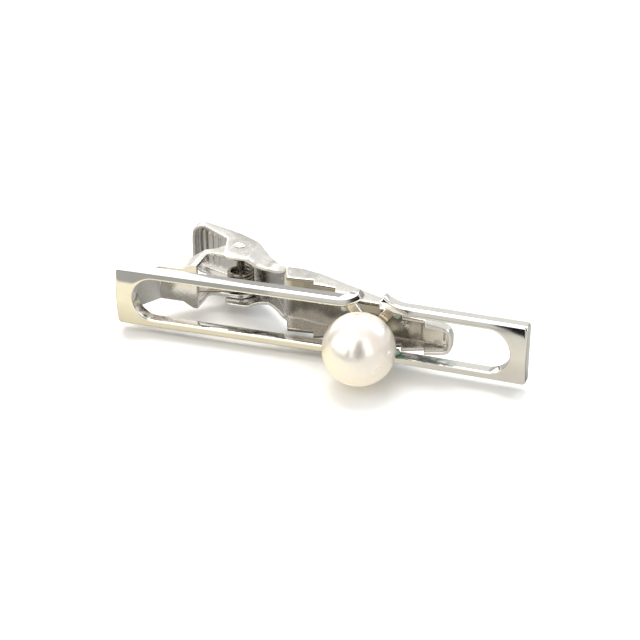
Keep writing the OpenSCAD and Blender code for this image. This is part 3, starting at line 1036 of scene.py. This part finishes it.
def spring():
    """The torsion spring: a round wire with eased ends, between the clip's base and the lever."""
    ease = 0.06
    path = spring_path()
    tangent = np.gradient(path, axis=0)
    tangent /= np.linalg.norm(tangent, axis=1)[:, None]
    rings = [wire_ring(path[0], tangent[0], WIRE_R - ease)]
    rings.append(wire_ring(path[0] + tangent[0] * ease, tangent[0], WIRE_R))
    rings += [wire_ring(p, t, WIRE_R) for p, t in zip(path[1:-1], tangent[1:-1])]
    rings.append(wire_ring(path[-1] - tangent[-1] * ease, tangent[-1], WIRE_R))
    rings.append(wire_ring(path[-1], tangent[-1], WIRE_R - ease))
    points, faces = loft(rings)
    nodes = ["torsion_spring"]
    obj = add_piece("torsion_spring_wire", points, faces, SPRING_WIRE, None, nodes)
    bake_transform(obj)


rivet()
spring()


# ---------------------------------------------------------- floor, light, camera

FLOOR_Z = cad_box[0][2]
CAMERA_PLACE = (0.041027, -0.149549, 0.080717)
CAMERA_LENS = 89.73
CAMERA_AZIMUTH = 17.491
CAMERA_ELEVATION = 27.301
CAMERA_ROLL = 0.077
NEAR_BLACK = (0.01, 0.01, 0.014)
SITTER = (0.40, 0.24, 0.20)


def rectangle(half_x, half_y, z):
    """Corners of a flat rectangle about the Z axis."""
    return [(-half_x, -half_y, z), (half_x, -half_y, z), (half_x, half_y, z), (-half_x, half_y, z)]


def polar(azimuth, elevation, distance):
    """A point at that direction from the object; azimuth 0 is straight in front, positive to the right."""
    a = math.radians(azimuth)
    e = math.radians(elevation)
    across = distance * math.cos(e)
    return (across * math.sin(a), -across * math.cos(a), distance * math.sin(e))


def table():
    """A plain floor at the object's lowest point."""
    mesh = bpy.data.meshes.new("table")
    mesh.from_pydata(rectangle(1.6, 1.6, FLOOR_Z), [], [(0, 1, 2, 3)])
    mesh.materials.append(table_top())
    obj = add_object("table", mesh)


def studio():
    """Pale room light: grey at the horizon, brighter overhead."""
    world = bpy.data.worlds.new("studio")
    world.use_nodes = True
    nodes = world.node_tree.nodes
    links = world.node_tree.links
    up = scaled_axis(nodes, links, nodes.new("ShaderNodeTexCoord").outputs["Generated"], "Z")
    sky = ramp(nodes, links, up, [(0.0, 0.42), (0.12, 0.5), (0.36, 0.85), (0.8, 1.2)])
    links.new(sky, nodes["Background"].inputs["Color"])
    nodes["Background"].inputs["Strength"].default_value = 0.78
    bpy.context.scene.world = world


def soft_light(name, azimuth, elevation, distance, size, watts, colour):
    """A square area light aimed at the object."""
    data = bpy.data.lights.new(name, "AREA")
    data.size = size
    data.energy = watts
    data.color = colour
    obj = add_object(name, data)
    place = Vector(polar(azimuth, elevation, distance))
    obj.matrix_world = Matrix.Translation(place) @ (-place).to_track_quat("-Z", "Y").to_matrix().to_4x4()


def glow_piece(name, points, faces, colour, strength):
    """A plain glowing or dark surface that only reflections see."""
    mat = bpy.data.materials.new(name)
    mat.use_nodes = True
    nodes = mat.node_tree.nodes
    nodes.clear()
    glow = nodes.new("ShaderNodeEmission")
    glow.inputs["Color"].default_value = (*colour, 1)
    glow.inputs["Strength"].default_value = strength
    out = nodes.new("ShaderNodeOutputMaterial")
    mat.node_tree.links.new(glow.outputs["Emission"], out.inputs["Surface"])
    mesh = bpy.data.meshes.new(name)
    mesh.from_pydata(points, [], faces)
    mesh.materials.append(mat)
    obj = add_object(name, mesh)
    obj.visible_camera = False
    obj.visible_diffuse = False
    obj.visible_shadow = False
    return obj


def card(name, azimuth, elevation, width, height, colour, strength):
    """A flat card half a metre away that faces the object."""
    obj = glow_piece(name, rectangle(width / 2, height / 2, 0), [(0, 1, 2, 3)], colour, strength)
    place = Vector(polar(azimuth, elevation, 0.5))
    obj.matrix_world = Matrix.Translation(place) @ (-place).to_track_quat("Z", "Y").to_matrix().to_4x4()


def strip(name, azimuths, radius, heights, colour, strength):
    """A curved upright strip round the object, between two azimuths and two heights."""
    steps = 24
    points = []
    for i in range(steps + 1):
        x, y, _ = polar(azimuths[0] + (azimuths[1] - azimuths[0]) * i / steps, 0, radius)
        points += [(x, y, z) for z in heights]
    faces = [(2 * i, 2 * i + 2, 2 * i + 3, 2 * i + 1) for i in range(steps)]
    glow_piece(name, points, faces, colour, strength)


def dark_end():
    """A dark five-sided surface low in front, which the right wing's end mirrors."""
    low = [(0.0042, -0.041, 0.0025), (0.0092, -0.041, FLOOR_Z), (0.0115, -0.04, FLOOR_Z)]
    high = [(0.0115, -0.04, 0.005), (0.0042, -0.041, 0.005)]
    glow_piece("dark_end", low + high, [(0, 1, 2, 3, 4)], NEAR_BLACK, 1.0)


def floor_sheen():
    """A painted reflection of the floor's light and shade for the metal to see: the bar's painted shadow
    just in front of and under it, warm light in front on the left, greyer shade on the right, a plain grey
    behind.
    """
    obj = glow_piece("floor_sheen", rectangle(0.13, 0.1, FLOOR_Z + 0.00015), [(0, 1, 2, 3)], (1, 1, 1), 1.0)
    nodes = obj.data.materials[0].node_tree.nodes
    links = obj.data.materials[0].node_tree.links
    place = nodes.new("ShaderNodeTexCoord").outputs["Object"]
    forward = scaled_axis(nodes, links, place, "Y", -10.0)
    behind = scaled_axis(nodes, links, place, "Y", 10.0)
    across = scaled_axis(nodes, links, place, "X", 10.0, 0.5)
    # the first stops of both ramps are the bar's painted shadow on the floor; the rest are painted floor
    # light and shade
    left_floor_light_and_shade = [(0.006, (0.26, 0.25, 0.23)), (0.02, (1.0, 0.9, 0.66)), (0.08, (1.33, 1.24, 0.93))]
    left_floor_light_and_shade += [(0.26, (1.32, 1.24, 0.97)), (0.32, (0.5, 0.5, 0.48))]
    right_floor_light_and_shade = [(0.006, (0.24, 0.24, 0.23)), (0.02, (0.8, 0.76, 0.68)), (0.1, (1.02, 0.97, 0.87))]
    right_floor_light_and_shade += [(0.4, (0.86, 0.85, 0.77)), (0.7, (0.70, 0.68, 0.63))]
    left = ramp(nodes, links, forward, left_floor_light_and_shade)
    right = ramp(nodes, links, forward, right_floor_light_and_shade)
    side = ramp(nodes, links, across, [(0.42, 0.0), (0.56, 1.0)])
    back = ramp(nodes, links, behind, [(0.0, 0.0), (0.03, 1.0)])
    front_tone = mix_colour(nodes, links, side, left, right)
    tone = mix_colour(nodes, links, back, front_tone, (0.62, 0.61, 0.58))
    links.new(tone, nodes["Emission"].inputs["Color"])


def camera():
    """The photograph's point of view."""
    data = bpy.data.cameras.new("camera")
    data.lens = CAMERA_LENS
    data.clip_start = 0.01
    obj = add_object("camera", data)
    turn = Matrix.Rotation(math.radians(CAMERA_AZIMUTH), 4, "Z")
    tilt = Matrix.Rotation(math.radians(90 - CAMERA_ELEVATION), 4, "X")
    roll = Matrix.Rotation(math.radians(-CAMERA_ROLL), 4, "Z")
    obj.matrix_world = Matrix.Translation(CAMERA_PLACE) @ turn @ tilt @ roll
    bpy.context.scene.camera = obj


table()
studio()
soft_light("key_softbox", 200, 62, 0.9, 0.5, 4.9, (1.0, 0.97, 0.92))
soft_light("front_fill", -35, 52, 0.9, 0.7, 1.2, (1.0, 0.95, 0.86))
soft_light("cool_side", 140, 36, 0.8, 0.3, 1.6, (0.72, 0.86, 1.0))
soft_light("warm_side", 222, 36, 0.8, 0.3, 1.9, (1.0, 0.90, 0.74))

# the room, which stands round the object
strip("front_room", (-85, 60), 0.6, (0.045, 1.0), (1.0, 0.985, 0.955), 1.75)
strip("right_room", (60, 120), 0.6, (0.045, 1.0), (0.95, 0.85, 0.76), 0.95)
strip("bright_back", (204, 250), 0.5, (0.05, 0.5), (1.0, 0.99, 0.96), 1.7)
strip("soft_back", (160, 196), 0.5, (0.05, 0.5), (1.0, 1.0, 0.97), 0.98)
strip("grey_back", (196, 204), 0.5, (0.05, 0.5), (1.0, 1.0, 0.98), 0.62)

# low grey and dark surfaces close in front, and the dim shape of whoever sits behind the camera
strip("grey_left", (-75, -24), 0.100, (FLOOR_Z, 0.003), (0.50, 0.50, 0.48), 1.0)
strip("grey_right", (-24, 45), 0.100, (FLOOR_Z, 0.0045), (0.82, 0.80, 0.75), 1.0)
strip("dark_flare", (-17.5, -8.5), 0.035, (0.0012, 0.012), NEAR_BLACK, 1.0)
dark_end()
card("sitter_low", 17, 15, 0.30, 0.24, SITTER, 0.05)
card("sitter_high", 17, 38, 0.18, 0.26, SITTER, 0.05)
floor_sheen()
camera()

bpy.context.scene.view_settings.view_transform = "Standard"
bpy.context.scene.view_settings.look = "None"
